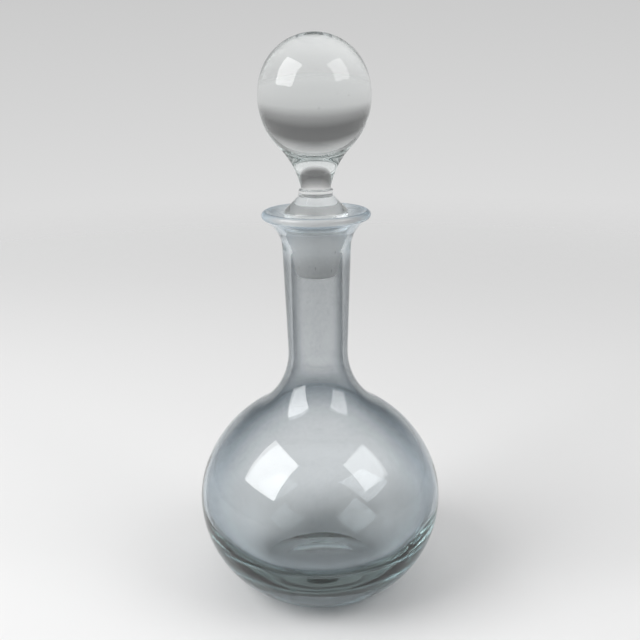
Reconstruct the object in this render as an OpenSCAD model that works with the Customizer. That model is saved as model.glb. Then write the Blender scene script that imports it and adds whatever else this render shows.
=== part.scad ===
// Globe decanter of clear glass with a ground-in ball stopper.
// Millimetres, +Z up. The origin is the centre of the foot, on the surface that it stands on.
// Both pieces are turned about the Z axis, so each module is one outline and one rotate_extrude.

/* [Globe] */
// Radius of the globe at its widest ring
globe_r = 66.8; // [50:0.1:90]
// Height of the widest ring above the foot
globe_z = 52.4; // [40:0.1:56]
// Radius of curvature of the side just above the widest ring
upper_side_r = 49.4; // [40:0.1:60]
// Angle above level at which the side passes into the flatter shoulder
shoulder_start = 21; // [10:1:35]
// Radius of curvature of the shoulder
shoulder_r = 68.9; // [60:0.1:90]
// Thickness of the glass in the globe, the shoulder and the root of the neck
wall = 2.7; // [1.8:0.1:4]
// Thickness of the base at its centre
base_t = 7.7; // [5:0.1:16]

/* [Foot] */
// How far inside the widest ring of the globe the edge of the foot begins to round
foot_inset = 32.5; // [23:0.1:39]
// Radius of the rounded edge of the foot
foot_round = 2; // [1:0.1:4]
// Width of the flat ring that the decanter stands on
foot_ring_w = 10; // [5:0.5:18]
// Depth, at its centre, of the hollow inside that ring
hollow_depth = 1.2; // [0.4:0.1:2.5]

/* [Neck] */
// Outer radius of the neck where it is narrowest
neck_r = 16; // [14.5:0.1:20]
// Radius of the sweep from the shoulder into the neck
neck_root_r = 36.8; // [25:0.1:50]
// Outward lean of the neck above its narrowest point, in degrees from upright
neck_lean = 2; // [0.5:0.1:4]
// Height of the lip above the foot
bottle_h = 212.6; // [195:0.1:260]
// Radius of the outward curve under the lip
flare_r = 17.7; // [14:0.1:24]
// Outer radius of the lip
lip_r = 28.4; // [26:0.1:34]
// Thickness of the fire-polished lip
lip_t = 4.35; // [3:0.05:5]

/* [Ground joint] */
// Depth of the seat's upper edge below the lip
seat_top_depth = 9.54; // [7:0.01:13]
// Length of the seat along its slope
seat_len = 11.33; // [8:0.01:15]
// Taper of the seat and of the plug, in degrees from upright
seat_taper = 12.6; // [8:0.1:16]
// Gap between the seat and the plug, square to both
seat_gap = 0.12; // [0.05:0.01:0.25]

/* [Stopper] */
// Length of the plug below the lower edge of the seat
plug_tail = 13.4; // [8:0.1:18]
// Rounding of the plug's lower edge
plug_round = 3.2; // [1:0.1:5]
// Crown of the plug's bottom, from its edge to its centre
plug_crown = 0.9; // [0.2:0.1:2]
// How far the ground band rises above the upper edge of the seat
band_stand = 1.34; // [0.5:0.01:3]
// Height of the flange above the ground band
flange_h = 8; // [6:0.1:10]
// Widening of the flange from its foot to its shoulder
flange_swell = 0.5; // [0.2:0.1:1.5]
// Rounding of the flange's shoulder
flange_round = 2.6; // [1:0.1:4]
// Height of the cone between the flange and the ring
cone_h = 7.8; // [6:0.1:11]
// How far the ring at the foot of the stem stands out from it
ring_stand = 1.3; // [0.8:0.1:3]
// Height of the ring
ring_h = 3.4; // [2:0.1:5]
// Rounding at the ring's edges
ring_round = 1; // [0.4:0.1:1.2]
// Radius that the stem's sweep would reach at its narrowest
stem_r = 6.9; // [5.5:0.1:7.4]
// Radius of the inward sweep from the head to the stem
stem_sweep_r = 41; // [30:0.5:55]
// Height of the head's centre above the ring
head_rise = 48.5; // [40:0.1:60]
// Radius of the head's crown
head_r = 28.15; // [23:0.05:34]
// How much larger the radius of curvature of the head's side is than its crown
head_side_extra = 7.25; // [3:0.05:14]
// Angle above level at which the crown passes into the side
head_side_start = 20; // [5:1:40]

/* [Hidden] */
$fn = 128;
// Angle between neighbouring points of an arc
arc_step = 3;
// Points nearer than this are one point
same_point = 0.005;
glass_tint = [0.80, 0.86, 0.85, 0.45];

// Points along an arc about centre c from angle a0 to angle a1, both ends included
function arc(c, r, a0, a1) =
    let (n = max(2, ceil(abs(a1 - a0) / arc_step)))
    [for (i = [0:n]) let (a = a0 + (a1 - a0) * i / n) c + r * [cos(a), sin(a)]];

// Direction of the line from p to q, in degrees
function heading(p, q) = atan2(q[1] - p[1], q[0] - p[0]);

// Unit vector at angle a
function unit(a) = [cos(a), sin(a)];

// The corner q of the line p-q-s, rounded to radius r
function corner(p, q, s, r) =
    let (
        d0 = (p - q) / norm(p - q),
        d1 = (s - q) / norm(s - q),
        half = acos(d0 * d1) / 2,
        middle = (d0 + d1) / norm(d0 + d1),
        c = q + middle * r / sin(half),
        t0 = q + d0 * r / tan(half),
        t1 = q + d1 * r / tan(half),
        a0 = heading(c, t0),
        turn = heading(c, t1) - a0,
        short = turn > 180 ? turn - 360 : turn < -180 ? turn + 360 : turn
    )
    arc(c, r, a0, a0 + short);

// An open line through [x, y, rounding] points, each inner one rounded by its third number
function rounded_line(pts) =
    let (n = len(pts) - 1, xy = [for (p = pts) [p[0], p[1]]])
    concat(
        [xy[0]],
        [for (i = [1:n - 1]) each
            pts[i][2] > 0 ? corner(xy[i - 1], xy[i], xy[i + 1], pts[i][2]) : [xy[i]]],
        [xy[n]]
    );

// The same points with those dropped that repeat the one before
function without_repeats(pts) =
    [for (i = [0:len(pts) - 1]) if (i == 0 || norm(pts[i] - pts[max(i, 1) - 1]) > same_point) pts[i]];

// Centre of a circle of radius r that touches, from outside, the circle about c of radius big,
// and whose inner side stands at distance x from the axis; side is 1 above c and -1 below it
function touching_centre(c, big, r, x, side) =
    [x + r, c[1] + side * sqrt(pow(big + r, 2) - pow(x + r - c[0], 2))];

// Globe: centres of the arcs of the side and the shoulder; the lower side touches the foot's edge
foot_r = globe_r - foot_inset;
lower_side_r = (pow(foot_inset, 2) + pow(globe_z - foot_round, 2) - pow(foot_round, 2))
    / (2 * (foot_inset - foot_round));
lower_c = [globe_r - lower_side_r, globe_z];
upper_c = [globe_r - upper_side_r, globe_z];
shoulder_c = upper_c - (shoulder_r - upper_side_r) * unit(shoulder_start);
root_c = touching_centre(shoulder_c, shoulder_r, neck_root_r, neck_r, 1);
shoulder_end = heading(shoulder_c, root_c);

// Foot: the rounded edge touches the ground and the lower side
foot_c = [foot_r, foot_round];
foot_end = heading(lower_c, foot_c);
hollow_r = foot_r - foot_ring_w;
hollow_arc_r = (pow(hollow_r, 2) + pow(hollow_depth, 2)) / (2 * hollow_depth);
hollow_half = asin(hollow_r / hollow_arc_r);

// Neck: the flare leaves the leaning neck at flare_z and carries the lip's round end
neck_end = root_c + neck_root_r * unit(180 - neck_lean);
lip_mid_r = flare_r + lip_t / 2;
lip_target = [lip_r - lip_t / 2, bottle_h - lip_t / 2];
lean_rise = tan(neck_lean);
reach = neck_end[0] - neck_end[1] * lean_rise + flare_r * cos(neck_lean) - lip_target[0];
climb = lip_target[1] + flare_r * sin(neck_lean);
half_b = climb - reach * lean_rise;
flare_z = (half_b - sqrt(half_b * half_b - (1 + lean_rise * lean_rise)
    * (reach * reach + climb * climb - lip_mid_r * lip_mid_r))) / (1 + lean_rise * lean_rise);
flare_c = [
    reach + lip_target[0] + flare_z * lean_rise,
    flare_z - flare_r * sin(neck_lean)
];
lip_angle = heading(flare_c, lip_target);

// Seat: a cone that runs down into the neck from the arc of the mouth
mouth_r = flare_r + lip_t;
seat_top_rise = bottle_h - seat_top_depth - flare_c[1];
seat_top = flare_c + [-sqrt(pow(mouth_r, 2) - pow(seat_top_rise, 2)), seat_top_rise];
seat_foot = seat_top - seat_len * [sin(seat_taper), cos(seat_taper)];

outer_outline = concat(
    arc([0, hollow_depth - hollow_arc_r], hollow_arc_r, 90, 90 - hollow_half),
    arc(foot_c, foot_round, -90, foot_end),
    arc(lower_c, lower_side_r, foot_end, 0),
    arc(upper_c, upper_side_r, 0, shoulder_start),
    arc(shoulder_c, shoulder_r, shoulder_start, shoulder_end),
    arc(root_c, neck_root_r, shoulder_end + 180, 180 - neck_lean),
    arc(flare_c, flare_r, 180 - neck_lean, lip_angle),
    arc(lip_target, lip_t / 2, lip_angle - 180, lip_angle)
);

inner_outline = concat(
    arc(flare_c, mouth_r, lip_angle, heading(flare_c, seat_top)),
    [seat_foot],
    arc(root_c, neck_root_r + wall, 180, shoulder_end + 180),
    arc(shoulder_c, shoulder_r - wall, shoulder_end, shoulder_start),
    arc(upper_c, upper_side_r - wall, shoulder_start, 0),
    [for (a = [arc_step:arc_step:90])
        [(globe_r - wall) * cos(a), globe_z - (globe_z - base_t) * sin(a)]]
);

// Stopper: levels of its steps, from the plug's lower edge up to the head's centre
plug_z = seat_foot[1] - plug_tail;
band_top = seat_top[1] + band_stand;
flange_top = band_top + flange_h;
ring_foot = flange_top + cone_h;
ring_top = ring_foot + ring_h;
head_c = [0, ring_top + head_rise];

// Radius of the ground plug at height z, one seat_gap inside the seat
function plug_r(z) =
    seat_foot[0] + (z - seat_foot[1]) * tan(seat_taper) - seat_gap / cos(seat_taper);

// Head: the side and the stem's sweep touch each other
head_side_r = head_r + head_side_extra;
side_c = head_c - head_side_extra * unit(head_side_start);
sweep_c = touching_centre(side_c, head_side_r, stem_sweep_r, stem_r, -1);
side_end = heading(side_c, sweep_c);
sweep_end = 180 - asin((ring_top - sweep_c[1]) / stem_sweep_r);
stem_foot = sweep_c + stem_sweep_r * unit(sweep_end);
ring_r = stem_foot[0] + ring_stand;

head_outline = concat(
    arc(head_c, head_r, 90, head_side_start),
    arc(side_c, head_side_r, head_side_start, side_end),
    arc(sweep_c, stem_sweep_r, side_end + 180, sweep_end)
);

foot_outline = rounded_line([
    [stem_foot[0], ring_top, 0],
    [ring_r, ring_top, ring_round / 2],
    [ring_r, ring_foot, ring_round],
    [plug_r(band_top) + flange_swell, flange_top, flange_round],
    [plug_r(band_top), band_top, 0],
    [plug_r(plug_z), plug_z, plug_round],
    [0, plug_z - plug_crown, 0]
]);

// The vessel: foot, globe, neck and lip are one piece of glass
module decanter_body() {
    color(glass_tint)
        rotate_extrude()
            polygon(without_repeats(concat(outer_outline, inner_outline)));
}

// The stopper: ground plug, flange, ring, stem and head are one solid piece of glass
module ball_stopper() {
    color(glass_tint)
        rotate_extrude()
            polygon(without_repeats(concat(head_outline, foot_outline)));
}

decanter_body();
ball_stopper();
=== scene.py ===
"""A clear glass globe decanter with a ground-in ball stopper, on a pale studio floor.

Both pieces are turned shapes. Their outlines are read from the frame, lathed again as fine
smooth glass with its ripples and seed bubbles, and ride the CAD bodies. Metres throughout.
"""
import math
import random

import bmesh
import bpy
from mathutils import Matrix, Vector, noise

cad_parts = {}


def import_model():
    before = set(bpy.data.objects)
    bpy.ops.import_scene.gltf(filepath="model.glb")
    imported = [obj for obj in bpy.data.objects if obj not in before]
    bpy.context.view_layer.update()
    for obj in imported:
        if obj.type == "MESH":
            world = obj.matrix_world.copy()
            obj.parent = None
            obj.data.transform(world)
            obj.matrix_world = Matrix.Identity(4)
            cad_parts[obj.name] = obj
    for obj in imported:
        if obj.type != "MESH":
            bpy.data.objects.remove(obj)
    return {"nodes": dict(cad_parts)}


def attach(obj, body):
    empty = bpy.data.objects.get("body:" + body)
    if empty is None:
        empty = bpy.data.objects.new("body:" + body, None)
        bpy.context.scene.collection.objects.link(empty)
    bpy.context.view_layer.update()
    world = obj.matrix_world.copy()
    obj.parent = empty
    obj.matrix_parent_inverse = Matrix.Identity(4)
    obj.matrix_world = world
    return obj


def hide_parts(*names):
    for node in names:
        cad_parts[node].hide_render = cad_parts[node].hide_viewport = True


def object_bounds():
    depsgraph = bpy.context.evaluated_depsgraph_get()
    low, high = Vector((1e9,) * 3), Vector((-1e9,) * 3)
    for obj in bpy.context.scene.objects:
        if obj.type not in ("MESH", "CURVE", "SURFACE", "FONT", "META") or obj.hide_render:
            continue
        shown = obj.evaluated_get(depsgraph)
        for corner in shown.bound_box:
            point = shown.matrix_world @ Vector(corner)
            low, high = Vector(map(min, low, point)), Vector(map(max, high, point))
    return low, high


MM = 0.001

# Camera: level distance from the axis and height, as shares of the whole height; angles in degrees
CAMERA_BACK = 1.502
CAMERA_HEIGHT = 0.961
CAMERA_DOWN = 16.68
CAMERA_TURN = 0.16
CAMERA_ROLL = 0.79
CAMERA_LENS = 49.5

# Lathe
LATHE_STEPS = 88
STRAIGHT = 4.5 * MM
STRAIGHT_STEP = 5 * MM
EDGE_KEEP = 0.4 * MM
ON_SEAM = 0.0002 * MM
SAME_POINT = 0.002 * MM
LEAST_TURN = 0.05

# How far the glass wanders from true, and over what distance
INNER_RIPPLE = 0.24 * MM
OUTER_RIPPLE = 0.04 * MM
RIPPLE_AROUND = 17 * MM
RIPPLE_UP = 40 * MM
RIPPLE_FADE = 30 * MM
FOOT_CLEAR = 3 * MM

# Shifts through the noise, so that the two sides of the wall wander apart
INNER_SHIFT = 0.0
OUTER_SHIFT = 5.0

# Seed bubbles: (random seed, how many) for the vessel and the ball; their ranges of place, as
# distance from the axis in mm or as a share, and of radius in mm; the plug's two are fixed, with
# their place from the plug's lower end
VESSEL_DRAW = (11, 7)
VESSEL_SEED_OUT = (6, 26)
VESSEL_SEED_UP = (0.45, 0.7)
VESSEL_SEED_SIZE = (0.14, 0.3)
STOPPER_DRAW = (5, 5)
BALL_SEED_OUT = (0.3, 0.8)
BALL_SEED_SIZE = (0.12, 0.26)
PLUG_SEEDS = (((1.3, -4, 8.2), 0.36), ((1.6, -4.2, 6.9), 0.28))
SEED_STRETCH = 1.25
SEED_DETAIL = 2

# Glass: index, colour, and how strongly the blown vessel and the solid stopper absorb, per metre
GLASS_IOR = 1.51
GLASS_TINT = (0.62, 0.68, 0.67, 1)
VESSEL_DENSITY = 28.0
STOPPER_DENSITY = 7.0

# How much of the light the ground frost scatters as white, and the lip as its painted highlight
FROST_WHITE = 0.6
# the lip's white scatter is a painted highlight
LIP_PAINTED_HIGHLIGHT = 0.5
LIP_HIGHLIGHT_ZONE = 5 * MM
SEAT_MARGIN = 0.5 * MM
PLUG_MARGIN = 2 * MM
EDGE_WANDER = 0.8 * MM
EDGE_SOFT = 0.7 * MM
EDGE_SCALE = 160

# Surface: roughness of handling marks and of the frost as (least, spread), and the relief
MARKS_SCALE = 38
MARKS_RANGE = (0.52, 0.78)
MARKS_ROUGH = 0.05
FROST_SCALE = 800
FROST_STRETCH = (1, 1, 0.08)
FROST_ROUGH = (0.24, 0.12)
WAVES_SCALE = 30
WAVES_STRETCH = (1, 1, 0.35)
GRAIN_SCALE = 2600
GRAIN_SHARE = 0.06
BUMP_STRENGTH = 0.35
BUMP_DEPTH = 0.15 * MM

# Painted shade in the vessel's colour, darkest up the neck: (share of its height, how much light
# it lets by), its hue, how many times thicker it is in dried speckles, and in painted shade seen
# edge on
PAINTED_SHADE_STOPS = ((0.0, 0.95), (0.30, 0.92), (0.58, 0.80), (0.87, 0.76), (0.905, 0.92), (0.985, 0.95),
        (1.0, 0.98))
PAINTED_SHADE_HUE = (0.98, 1.0, 1.015)
DRIED_SPECKLE = 1.6
PAINTED_EDGE_SHADE = 9.0
EDGE_SHADE_RANGE = (0.15, 0.9)
SPECKLE_SCALE = 700
SPECKLE_RANGE = (0.48, 0.72)

# Studio: the floor, and the distances between which it fades into the surround; the surround's
# brightness against the sine of the angle above level; and the lamps' names, places, sizes, watts
FLOOR_GREY = 0.80
FLOOR_ROUGH = 0.6
FLOOR_SPECULAR = 0.2
FLOOR_RADIUS = 3.0
FLOOR_SIDES = 96
FLOOR_DROP = 0.3 * MM
FLOOR_FADE = (0.45, 1.5)
SURROUND = ((-1.0, 0.80), (-0.30, 0.80), (-0.05, 0.66), (0.06, 0.60), (0.16, 0.32), (0.28, 0.14),
            (0.46, 0.14), (0.62, 0.45), (1.0, 0.95))
LAMPS = (("key", (-1.1, -0.5, 1.1), 1.1, 19), ("fill", (1.2, -0.6, 1.3), 1.0, 9))
LIGHT_BOUNCES = 64

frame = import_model()
cad_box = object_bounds()


# ---------------------------------------------------------------- outlines

def outline(node):
    """The (radius, height) points of a turned CAD node along its seam, from its lower axis point.

    The seam of a turned CAD solid is the line of mesh edges in the half plane y = 0, x > 0.
    """
    mesh = frame["nodes"][node].data
    place = {}
    for v in mesh.vertices:
        if abs(v.co.y) < ON_SEAM and v.co.x > -ON_SEAM:
            place[v.index] = (round(v.co.x / SAME_POINT), round(v.co.z / SAME_POINT))
    near = {k: set() for k in place.values()}
    for e in mesh.edges:
        a, b = (place.get(i) for i in e.vertices)
        if a and b and a != b:
            near[a].add(b)
            near[b].add(a)
    ends = sorted((k for k in near if len(near[k]) == 1), key=lambda k: k[1])
    path = [ends[0]]
    while len(path) < 2 or len(near[path[-1]]) > 1:
        path += [k for k in near[path[-1]] if k not in path[-2:]]
    return [Vector((x * SAME_POINT, z * SAME_POINT)) for x, z in path]


def turn_at(points, i):
    """How far the outline turns at point i, in degrees."""
    before = points[i] - points[i - 1]
    after = points[i + 1] - points[i]
    return abs(math.degrees(before.angle_signed(after)))


def without_idle_points(points):
    """The outline without the points that lie on a straight stretch."""
    inner = [p for i, p in enumerate(points[1:-1], 1) if turn_at(points, i) > LEAST_TURN]
    return [points[0], *inner, points[-1]]


def straights(points):
    """The straight stretches of the outline as (length, lower end, upper end), longest first."""
    found = []
    for p, q in zip(points, points[1:]):
        if (q - p).length > STRAIGHT:
            low, high = sorted((p, q), key=lambda v: v.y)
            found.append(((q - p).length, low, high))
    return sorted(found, key=lambda s: -s[0])


def with_straights_cut(points):
    """The outline with points added along its straight stretches, closest at their ends."""
    out = [points[0]]
    for p, q in zip(points, points[1:]):
        length = (q - p).length
        if length > STRAIGHT:
            n = math.ceil((length - 2 * EDGE_KEEP) / STRAIGHT_STEP)
            keep = EDGE_KEEP / length
            out += [p.lerp(q, keep + (1 - 2 * keep) * i / n) for i in range(n + 1)]
        out.append(q)
    return out


# ---------------------------------------------------------------- glass meshes

def up_to_one(share):
    """The share, kept between 0 and 1."""
    return min(1.0, max(0.0, share))


def ripple(co, depth, shift):
    """A slow wander of the surface at co, between -depth and depth."""
    angle = math.atan2(co.y, co.x)
    around = max(math.hypot(co.x, co.y), RIPPLE_AROUND / 2) / RIPPLE_AROUND
    where = Vector((math.cos(angle) * around, math.sin(angle) * around, co.z / RIPPLE_UP))
    return depth * noise.noise(where + Vector((shift, 0, 0)))


def lathe(name, points, ripples):
    """A closed mesh that turns the outline round Z; ripples is each point's (depth, shift)."""
    bm = bmesh.new()
    rings = []
    for i, (p, (depth, shift)) in enumerate(zip(points, ripples)):
        if p.x < SAME_POINT * 2:
            rings.append([bm.verts.new((0, 0, p.y))])
            continue
        along = points[i + 1] - points[i - 1]
        out = Vector((along.y, -along.x)).normalized()
        ring = []
        for s in range(LATHE_STEPS):
            a = 2 * math.pi * s / LATHE_STEPS
            co = Vector((p.x * math.cos(a), p.x * math.sin(a), p.y))
            if depth:
                move = ripple(co, depth, shift)
                co += Vector((out.x * math.cos(a), out.x * math.sin(a), out.y)) * move
            ring.append(bm.verts.new(co))
        rings.append(ring)
    for low, high in zip(rings, rings[1:]):
        for s in range(LATHE_STEPS):
            t = (s + 1) % LATHE_STEPS
            if len(low) == 1:
                bm.faces.new((low[0], high[t], high[s]))
            elif len(high) == 1:
                bm.faces.new((low[s], low[t], high[0]))
            else:
                bm.faces.new((low[s], low[t], high[t], high[s]))
    mesh = bpy.data.meshes.new(name)
    bm.normal_update()
    bmesh.ops.recalc_face_normals(bm, faces=bm.faces)
    return bm, mesh


def add_seeds(bm, seeds):
    """Tiny closed air bubbles inside the glass: (centre, radius) each, facing into the bubble."""
    for centre, radius in seeds:
        made = bmesh.ops.create_icosphere(
            bm, subdivisions=SEED_DETAIL, radius=radius,
            matrix=Matrix.Translation(centre) @ Matrix.Diagonal((1, 1, SEED_STRETCH, 1)))
        faces = {f for v in made["verts"] for f in v.link_faces}
        bmesh.ops.reverse_faces(bm, faces=list(faces))


def finish_glass(bm, mesh, body, material, node):
    """Turns the mesh into a smooth shown piece that stands for a CAD node."""
    for f in bm.faces:
        f.smooth = True
    bm.to_mesh(mesh)
    bm.free()
    piece = bpy.data.objects.new(mesh.name, mesh)
    bpy.context.scene.collection.objects.link(piece)
    subdivide = piece.modifiers.new("smooth", "SUBSURF")
    subdivide.levels = subdivide.render_levels = 1
    mesh.materials.append(material)
    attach(piece, body)
    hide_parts(node)
    return piece


# ---------------------------------------------------------------- materials

def nodes_of(name):
    """A new material with its node tree, Principled shader and output."""
    material = bpy.data.materials.new(name)
    material.use_nodes = True
    tree = material.node_tree
    return material, tree, tree.nodes["Principled BSDF"], tree.nodes["Material Output"]


def math_node(tree, operation, *values):
    """A Math node whose inputs are numbers or sockets; returns its output."""
    n = tree.nodes.new("ShaderNodeMath")
    n.operation = operation
    for socket, value in zip(n.inputs, values):
        if isinstance(value, bpy.types.NodeSocket):
            tree.links.new(value, socket)
        else:
            socket.default_value = value
    return n.outputs[0]


def ramp(tree, value, low, high, to_low=0.0, to_high=1.0):
    """A smooth step of value from low to high."""
    n = tree.nodes.new("ShaderNodeMapRange")
    n.interpolation_type = "SMOOTHSTEP"
    tree.links.new(value, n.inputs["Value"])
    for key, number in (("From Min", low), ("From Max", high), ("To Min", to_low),
                        ("To Max", to_high)):
        n.inputs[key].default_value = number
    return n.outputs["Result"]


def fill_ramp(color_ramp, stops, hue):
    """Gives a colour ramp its (position, tone) stops, each tone times the hue."""
    color_ramp.elements.remove(color_ramp.elements[1])
    for i, (at, tone) in enumerate(stops):
        stop = color_ramp.elements[0] if i == 0 else color_ramp.elements.new(at)
        stop.position = at
        stop.color = (*(tone * c for c in hue), 1)


def pattern(tree, position, scale, detail=3.0, stretch=(1, 1, 1), roughness=0.5):
    """A noise over the object's own coordinates, stretched by the given factors."""
    mapping = tree.nodes.new("ShaderNodeMapping")
    mapping.inputs["Scale"].default_value = stretch
    tree.links.new(position, mapping.inputs["Vector"])
    n = tree.nodes.new("ShaderNodeTexNoise")
    n.inputs["Scale"].default_value = scale
    n.inputs["Detail"].default_value = detail
    n.inputs["Roughness"].default_value = roughness
    tree.links.new(mapping.outputs["Vector"], n.inputs["Vector"])
    return n.outputs["Fac"]


def band(tree, value, low, high, soft):
    """A mask of the values from low to high, with soft edges."""
    return math_node(tree, "MULTIPLY", ramp(tree, value, low - soft, low),
                     ramp(tree, value, high, high + soft, 1.0, 0.0))


def painted_shade_tone(tree, position, z, height):
    """Painted shade in the vessel's colour by height, thicker in dried speckles, painted darker
    edge on.
    """
    tone = tree.nodes.new("ShaderNodeValToRGB")
    tree.links.new(math_node(tree, "DIVIDE", z, height), tone.inputs["Fac"])
    fill_ramp(tone.color_ramp, PAINTED_SHADE_STOPS, PAINTED_SHADE_HUE)
    # painted shade: the colour darkens where the glass is seen edge on
    facing = tree.nodes.new("ShaderNodeLayerWeight").outputs["Facing"]
    edge_shade = ramp(tree, facing, *EDGE_SHADE_RANGE, 1.0, PAINTED_EDGE_SHADE)
    dried = pattern(tree, position, SPECKLE_SCALE, 4, roughness=0.7)
    speckle = ramp(tree, dried, *SPECKLE_RANGE, 1.0, DRIED_SPECKLE)
    shaded = tree.nodes.new("ShaderNodeGamma")
    tree.links.new(tone.outputs["Color"], shaded.inputs["Color"])
    tree.links.new(math_node(tree, "MULTIPLY", edge_shade, speckle), shaded.inputs["Gamma"])
    return shaded.outputs["Color"]


def absorb(tree, out, density):
    """Fills the piece with glass that absorbs light."""
    volume = tree.nodes.new("ShaderNodeVolumeAbsorption")
    volume.inputs["Color"].default_value = GLASS_TINT
    volume.inputs["Density"].default_value = density
    tree.links.new(volume.outputs["Volume"], out.inputs["Volume"])


def radius_and_height(tree, position):
    """The distance from the axis and the height, as sockets."""
    split = tree.nodes.new("ShaderNodeSeparateXYZ")
    tree.links.new(position, split.inputs["Vector"])
    x, y, z = split.outputs
    squares = [math_node(tree, "MULTIPLY", side, side) for side in (x, y)]
    return math_node(tree, "SQRT", math_node(tree, "ADD", *squares)), z


def ground_mask(tree, position, radius, z, ground):
    """Where the glass is ground: between two heights inside a radius, with an uneven border."""
    low, high, reach = ground
    edge = math_node(tree, "MULTIPLY_ADD", pattern(tree, position, EDGE_SCALE), EDGE_WANDER, z)
    return math_node(tree, "MULTIPLY", band(tree, edge, low, high, EDGE_SOFT),
                     band(tree, radius, -reach, reach, EDGE_SOFT / 3))


def lip_highlight_mask(tree, radius, z, lip):
    """Where the rounded edge of the lip gets its painted highlight."""
    lip_r, lip_z = lip
    return math_node(tree, "MULTIPLY", ramp(tree, radius, lip_r - LIP_HIGHLIGHT_ZONE, lip_r),
                     ramp(tree, z, lip_z - 2 * LIP_HIGHLIGHT_ZONE, lip_z - LIP_HIGHLIGHT_ZONE))


def polish(tree, shader, position, ground):
    """Roughness: faint handling marks on polished glass, streaked frost where it is ground."""
    handled = pattern(tree, position, MARKS_SCALE, 5, roughness=0.6)
    marks = ramp(tree, handled, *MARKS_RANGE, 0.0, MARKS_ROUGH)
    streaks = pattern(tree, position, FROST_SCALE, 3, stretch=FROST_STRETCH)
    least, spread = FROST_ROUGH
    frost = math_node(tree, "MULTIPLY_ADD", streaks, spread, least)
    mix = tree.nodes.new("ShaderNodeMix")
    tree.links.new(ground, mix.inputs["Factor"])
    tree.links.new(marks, mix.inputs["A"])
    tree.links.new(frost, mix.inputs["B"])
    tree.links.new(mix.outputs["Result"], shader.inputs["Roughness"])


def relief(tree, shader, position, ground):
    """Bump: slow waves of blown glass everywhere, fine grain where it is ground."""
    waves = pattern(tree, position, WAVES_SCALE, 2, stretch=WAVES_STRETCH)
    grain = math_node(tree, "MULTIPLY", pattern(tree, position, GRAIN_SCALE, 2), ground)
    bump = tree.nodes.new("ShaderNodeBump")
    bump.inputs["Strength"].default_value = BUMP_STRENGTH
    bump.inputs["Distance"].default_value = BUMP_DEPTH
    height = math_node(tree, "MULTIPLY_ADD", grain, GRAIN_SHARE, waves)
    tree.links.new(height, bump.inputs["Height"])
    tree.links.new(bump.outputs["Normal"], shader.inputs["Normal"])


def glass(name, density, ground, lip=None):
    """Clear glass, ground to a frost in ground, its (low height, high height, radius).

    lip is the (radius, height) of a vessel's lip: its rounded edge gets a painted highlight of
    white scatter, and the vessel gets its painted shade.
    """
    material, tree, shader, out = nodes_of(name)
    shader.inputs["Base Color"].default_value = (1, 1, 1, 1)
    shader.inputs["IOR"].default_value = GLASS_IOR
    absorb(tree, out, density)
    position = tree.nodes.new("ShaderNodeTexCoord").outputs["Object"]
    radius, z = radius_and_height(tree, position)
    frosted = ground_mask(tree, position, radius, z, ground)
    clear = math_node(tree, "MULTIPLY_ADD", frosted, -FROST_WHITE, 1.0)
    if lip:
        # painted highlight: white scatter on the lip's rounded edge
        clear = math_node(tree, "MULTIPLY_ADD", lip_highlight_mask(tree, radius, z, lip), -LIP_PAINTED_HIGHLIGHT, clear)
        # painted shade in the vessel's colour, darker up the neck and at the edges
        tree.links.new(painted_shade_tone(tree, position, z, lip[1]), shader.inputs["Base Color"])
    tree.links.new(clear, shader.inputs["Transmission Weight"])
    polish(tree, shader, position, frosted)
    relief(tree, shader, position, frosted)
    return material


# ---------------------------------------------------------------- the two pieces

def base_seeds(floor_z):
    """Seed bubbles scattered in the thick base, under the cavity's floor."""
    number, count = VESSEL_DRAW
    draw = random.Random(number)
    seeds = []
    for _ in range(count):
        a = draw.uniform(0, 2 * math.pi)
        r = draw.uniform(*VESSEL_SEED_OUT) * MM
        z = floor_z * draw.uniform(*VESSEL_SEED_UP)
        size = draw.uniform(*VESSEL_SEED_SIZE) * MM
        seeds.append((Vector((r * math.cos(a), r * math.sin(a), z)), size))
    return seeds


def plug_seeds(low):
    """The two bubbles in the front of the plug, above its lower end."""
    return [(Vector(at) * MM + Vector((0, 0, low)), size * MM) for at, size in PLUG_SEEDS]


def ball_seeds(centre_z, head_r):
    """Seed bubbles scattered in the ball head."""
    number, count = STOPPER_DRAW
    draw = random.Random(number)
    seeds = []
    for _ in range(count):
        way = Vector((draw.uniform(-1, 1), draw.uniform(-1, 1), draw.uniform(-1, 1))).normalized()
        out = way * head_r * draw.uniform(*BALL_SEED_OUT)
        seeds.append((Vector((0, 0, centre_z)) + out, draw.uniform(*BALL_SEED_SIZE) * MM))
    return seeds


def vessel_ripples(cut, lip, seat_low):
    """Each outline point's (depth, shift) of ripple: none at the seat, the axis and the foot."""
    ripples = []
    for i, p in enumerate(cut):
        share = up_to_one((seat_low.y - p.y) / RIPPLE_FADE) * up_to_one(p.x / RIPPLE_AROUND)
        if i > lip:
            ripples.append((INNER_RIPPLE * share, INNER_SHIFT))
        else:
            ripples.append((OUTER_RIPPLE * share * up_to_one(p.y / FOOT_CLEAR - 1), OUTER_SHIFT))
    return ripples


def decanter():
    """The blown vessel: its bore is the longest straight, and the seat is above it."""
    points = without_idle_points(outline("decanter_body"))
    bore, *_ = straights(points)
    seat_low = bore[2]
    seat_high = points[points.index(seat_low) - 1]
    cut = with_straights_cut(points)
    lip = max(range(len(cut)), key=lambda i: cut[i].y)
    bm, mesh = lathe("decanter_glass", cut, vessel_ripples(cut, lip, seat_low))
    add_seeds(bm, base_seeds(points[-1].y))
    lip_r = max(q.x for q in cut if q.y > seat_low.y)
    ground = (seat_low.y, seat_high.y, seat_high.x + SEAT_MARGIN)
    material = glass("blown_glass", VESSEL_DENSITY, ground, (lip_r, cut[lip].y))
    return finish_glass(bm, mesh, "vessel", material, "decanter_body")


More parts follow.
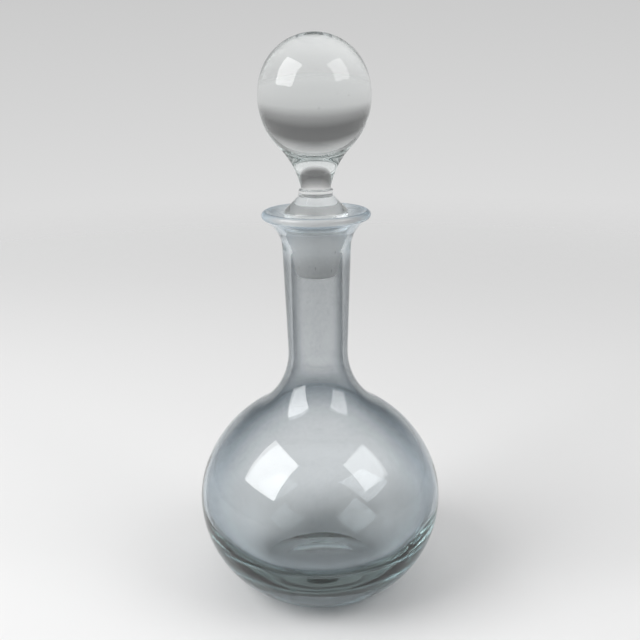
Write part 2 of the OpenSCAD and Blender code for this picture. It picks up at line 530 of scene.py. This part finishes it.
def stopper():
    """The solid stopper: its ground plug is the longest straight."""
    points = without_idle_points(outline("ball_stopper"))
    plug, *_ = straights(points)
    cut = with_straights_cut(points)
    ripples = [(OUTER_RIPPLE * up_to_one((p.y - plug[2].y) / RIPPLE_FADE - 1)
                * up_to_one(p.x / RIPPLE_AROUND), OUTER_SHIFT) for p in cut]
    bm, mesh = lathe("stopper_glass", cut, ripples)
    low, high = cut[0].y, cut[-1].y
    head_r = max(p.x for p in cut)
    add_seeds(bm, plug_seeds(low) + ball_seeds(high - head_r, head_r))
    ground = (low - PLUG_MARGIN, plug[2].y, head_r)
    material = glass("solid_glass", STOPPER_DENSITY, ground)
    return finish_glass(bm, mesh, "stopper", material, "ball_stopper")


# ---------------------------------------------------------------- studio

def camera():
    """The photograph's view: level with the ball, from the front, looking down."""
    height = cad_box[1].z
    cam = bpy.data.objects.new("camera", bpy.data.cameras.new("camera"))
    bpy.context.scene.collection.objects.link(cam)
    cam.data.lens = CAMERA_LENS
    cam.data.clip_start = 0.01
    turn = Matrix.Rotation(-math.radians(CAMERA_TURN), 4, "Z")
    tilt = Matrix.Rotation(math.radians(90 - CAMERA_DOWN), 4, "X")
    roll = Matrix.Rotation(-math.radians(CAMERA_ROLL), 4, "Z")
    place = Matrix.Translation((0, -CAMERA_BACK * height, CAMERA_HEIGHT * height))
    cam.matrix_world = place @ turn @ tilt @ roll
    bpy.context.scene.camera = cam


def studio_floor():
    """A pale round floor that fades into the backdrop."""
    bm = bmesh.new()
    bmesh.ops.create_circle(bm, cap_ends=True, segments=FLOOR_SIDES, radius=FLOOR_RADIUS)
    mesh = bpy.data.meshes.new("studio_floor")
    bm.to_mesh(mesh)
    bm.free()
    piece = bpy.data.objects.new("studio_floor", mesh)
    piece.location.z = -FLOOR_DROP
    bpy.context.scene.collection.objects.link(piece)
    material, tree, shader, out = nodes_of("pale_floor")
    shader.inputs["Base Color"].default_value = (FLOOR_GREY, FLOOR_GREY, FLOOR_GREY, 1)
    shader.inputs["Roughness"].default_value = FLOOR_ROUGH
    shader.inputs["Specular IOR Level"].default_value = FLOOR_SPECULAR
    position = tree.nodes.new("ShaderNodeTexCoord").outputs["Object"]
    far = tree.nodes.new("ShaderNodeVectorMath")
    far.operation = "LENGTH"
    tree.links.new(position, far.inputs[0])
    clear = tree.nodes.new("ShaderNodeBsdfTransparent")
    mix = tree.nodes.new("ShaderNodeMixShader")
    tree.links.new(ramp(tree, far.outputs["Value"], *FLOOR_FADE), mix.inputs["Fac"])
    tree.links.new(shader.outputs["BSDF"], mix.inputs[1])
    tree.links.new(clear.outputs["BSDF"], mix.inputs[2])
    tree.links.new(mix.outputs["Shader"], out.inputs["Surface"])
    mesh.materials.append(material)


def world():
    """A pale surround that darkens overhead, so that the edges of the glass read."""
    made = bpy.data.worlds.new("studio")
    bpy.context.scene.world = made
    made.use_nodes = True
    tree = made.node_tree
    back = tree.nodes["Background"]
    way = tree.nodes.new("ShaderNodeSeparateXYZ")
    tree.links.new(tree.nodes.new("ShaderNodeTexCoord").outputs["Generated"], way.inputs["Vector"])
    tone = tree.nodes.new("ShaderNodeValToRGB")
    half = math_node(tree, "MULTIPLY_ADD", way.outputs["Z"], 0.5, 0.5)
    tree.links.new(half, tone.inputs["Fac"])
    fill_ramp(tone.color_ramp, [((at + 1) / 2, grey) for at, grey in SURROUND], (1, 1, 1))
    tree.links.new(tone.outputs["Color"], back.inputs["Color"])
    back.inputs["Strength"].default_value = 1.0


def softbox(name, place, size, power):
    """A square area lamp at place that points at the middle of the object."""
    lamp = bpy.data.lights.new(name, "AREA")
    lamp.size = size
    lamp.energy = power
    holder = bpy.data.objects.new(name, lamp)
    bpy.context.scene.collection.objects.link(holder)
    holder.location = place
    aim = Vector((0, 0, cad_box[1].z / 2)) - holder.location
    holder.rotation_euler = aim.to_track_quat("-Z", "Y").to_euler()


camera()
studio_floor()
world()
for lamp in LAMPS:
    softbox(*lamp)
decanter()
stopper()

scene = bpy.context.scene
scene.view_settings.view_transform = "Standard"
scene.cycles.max_bounces = LIGHT_BOUNCES
scene.cycles.transmission_bounces = LIGHT_BOUNCES
scene.cycles.glossy_bounces = LIGHT_BOUNCES
